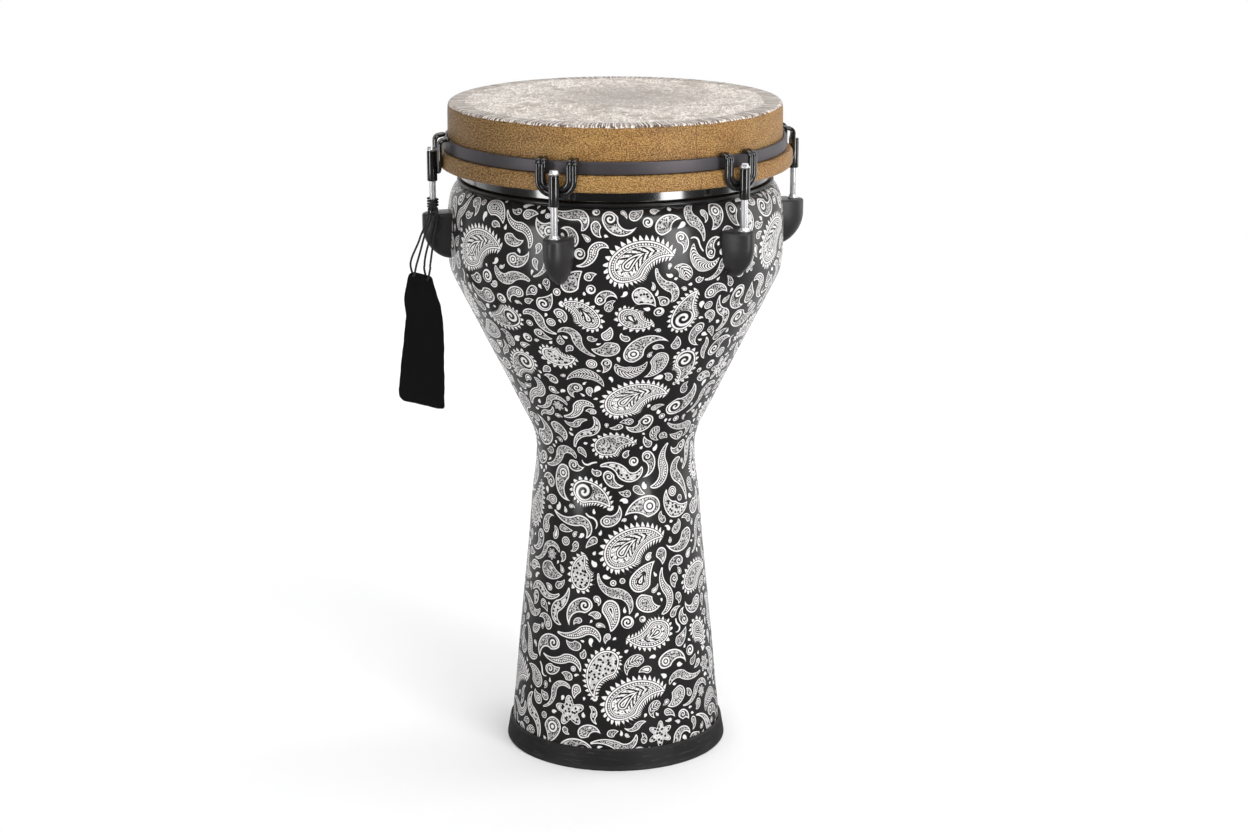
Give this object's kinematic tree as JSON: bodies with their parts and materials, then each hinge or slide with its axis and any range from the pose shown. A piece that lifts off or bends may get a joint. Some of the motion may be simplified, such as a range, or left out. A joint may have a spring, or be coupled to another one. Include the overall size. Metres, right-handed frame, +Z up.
{
  "type": "djembe",
  "caption": "Goblet hand drum with a printed shell, a hooped head tuned by claws and threaded rods, a rubber foot ring and a hanging tag.",
  "frame": {"origin": "centre of the playing head's top face, on the drum's axis", "axes": "+Z up along the drum's axis, out of the head; -Y is the front; the tag hangs towards -X; the foot's underside is at Z = -0.6096"},
  "size_m": [0.3712, 0.3384, 0.6096],
  "materials": {
    "printed_shell": "black ornament print on fabric under a clear gloss coat over moulded wood fibre",
    "collar": "gloss black",
    "foot_rubber": "matt black rubber",
    "film": "mottled fibre-look film",
    "fleck": "golden brown wood-fibre fleck, satin",
    "band": "satin black",
    "claw": "gloss black casting",
    "rod_chrome": "polished",
    "lug": "satin black",
    "zinc_steel": "zinc plated",
    "tag_fabric": "black suede-like fabric",
    "cord": "black twisted cord"
  },
  "bodies": {
    "root": {"shell": "printed_shell", "bearing_collar": "collar", "foot_ring": "foot_rubber", "rod_ferrule_1": "rod_chrome", "rod_ferrule_2": "rod_chrome", "rod_ferrule_3": "rod_chrome", "rod_ferrule_4": "rod_chrome", "rod_ferrule_5": "rod_chrome", "rod_ferrule_6": "rod_chrome", "lug_casing_1": "lug", "lug_casing_2": "lug", "lug_casing_3": "lug", "lug_casing_4": "lug", "lug_casing_5": "lug", "lug_casing_6": "lug", "lug_nut_1": "zinc_steel", "lug_nut_2": "zinc_steel", "lug_nut_3": "zinc_steel", "lug_nut_4": "zinc_steel", "lug_nut_5": "zinc_steel", "lug_nut_6": "zinc_steel", "lug_screw_1": "zinc_steel", "lug_screw_2": "zinc_steel", "lug_screw_3": "zinc_steel", "lug_screw_4": "zinc_steel", "lug_screw_5": "zinc_steel", "lug_screw_6": "zinc_steel"},
    "head": {"head_film": "film", "head_skirt": "fleck", "flesh_hoop": "fleck", "counter_hoop": "band", "claw_1": "claw", "claw_2": "claw", "claw_3": "claw", "claw_4": "claw", "claw_5": "claw", "claw_6": "claw"},
    "rod_1": {"tuning_rod_1": "rod_chrome"},
    "rod_2": {"tuning_rod_2": "rod_chrome"},
    "rod_3": {"tuning_rod_3": "rod_chrome"},
    "rod_4": {"tuning_rod_4": "rod_chrome"},
    "rod_5": {"tuning_rod_5": "rod_chrome"},
    "rod_6": {"tuning_rod_6": "rod_chrome"},
    "tag_loop": {"tag_knot": "cord"},
    "tag_flap": {"tag": "tag_fabric", "tag_cord_outer": "cord", "tag_cord_inner": "cord"}
  },
  "joints": [
    {"name": "head_travel", "type": "slide", "parent": "root", "child": "head", "axis": [0, 0, 1], "range_m": [0, 0.012]},
    {"name": "rod_1_turn", "type": "hinge", "parent": "head", "child": "rod_1", "pos_m": [-0.05192, -0.15978, -0.0328], "axis": [0, 0, 1], "range_deg": [0, 4320]},
    {"name": "rod_2_turn", "type": "hinge", "parent": "head", "child": "rod_2", "pos_m": [0.11241, -0.12485, -0.0328], "axis": [0, 0, 1], "range_deg": [0, 4320]},
    {"name": "rod_3_turn", "type": "hinge", "parent": "head", "child": "rod_3", "pos_m": [0.16433, 0.03493, -0.0328], "axis": [0, 0, 1], "range_deg": [0, 4320]},
    {"name": "rod_4_turn", "type": "hinge", "parent": "head", "child": "rod_4", "pos_m": [0.05192, 0.15978, -0.0328], "axis": [0, 0, 1], "range_deg": [0, 4320]},
    {"name": "rod_5_turn", "type": "hinge", "parent": "head", "child": "rod_5", "pos_m": [-0.11241, 0.12485, -0.0328], "axis": [0, 0, 1], "range_deg": [0, 4320]},
    {"name": "rod_6_turn", "type": "hinge", "parent": "head", "child": "rod_6", "pos_m": [-0.16433, -0.03493, -0.0328], "axis": [0, 0, 1], "range_deg": [0, 4320]},
    {"name": "tag_swivel", "type": "hinge", "parent": "root", "child": "tag_loop", "pos_m": [-0.16433, -0.03493, -0.0926], "axis": [0, 0, 1], "range_deg": [-100, 14]},
    {"name": "tag_swing", "type": "hinge", "parent": "tag_loop", "child": "tag_flap", "pos_m": [-0.16609, -0.0353, -0.0926], "axis": [-0.2079, 0.9781, 0], "range_deg": [-6, 75]}
  ],
  "couplings": [
    {"joint": "rod_1_turn", "follows": "head_travel", "rad_per_m": 6283.2},
    {"joint": "rod_2_turn", "follows": "head_travel", "rad_per_m": 6283.2},
    {"joint": "rod_3_turn", "follows": "head_travel", "rad_per_m": 6283.2},
    {"joint": "rod_4_turn", "follows": "head_travel", "rad_per_m": 6283.2},
    {"joint": "rod_5_turn", "follows": "head_travel", "rad_per_m": 6283.2},
    {"joint": "rod_6_turn", "follows": "head_travel", "rad_per_m": 6283.2}
  ]
}
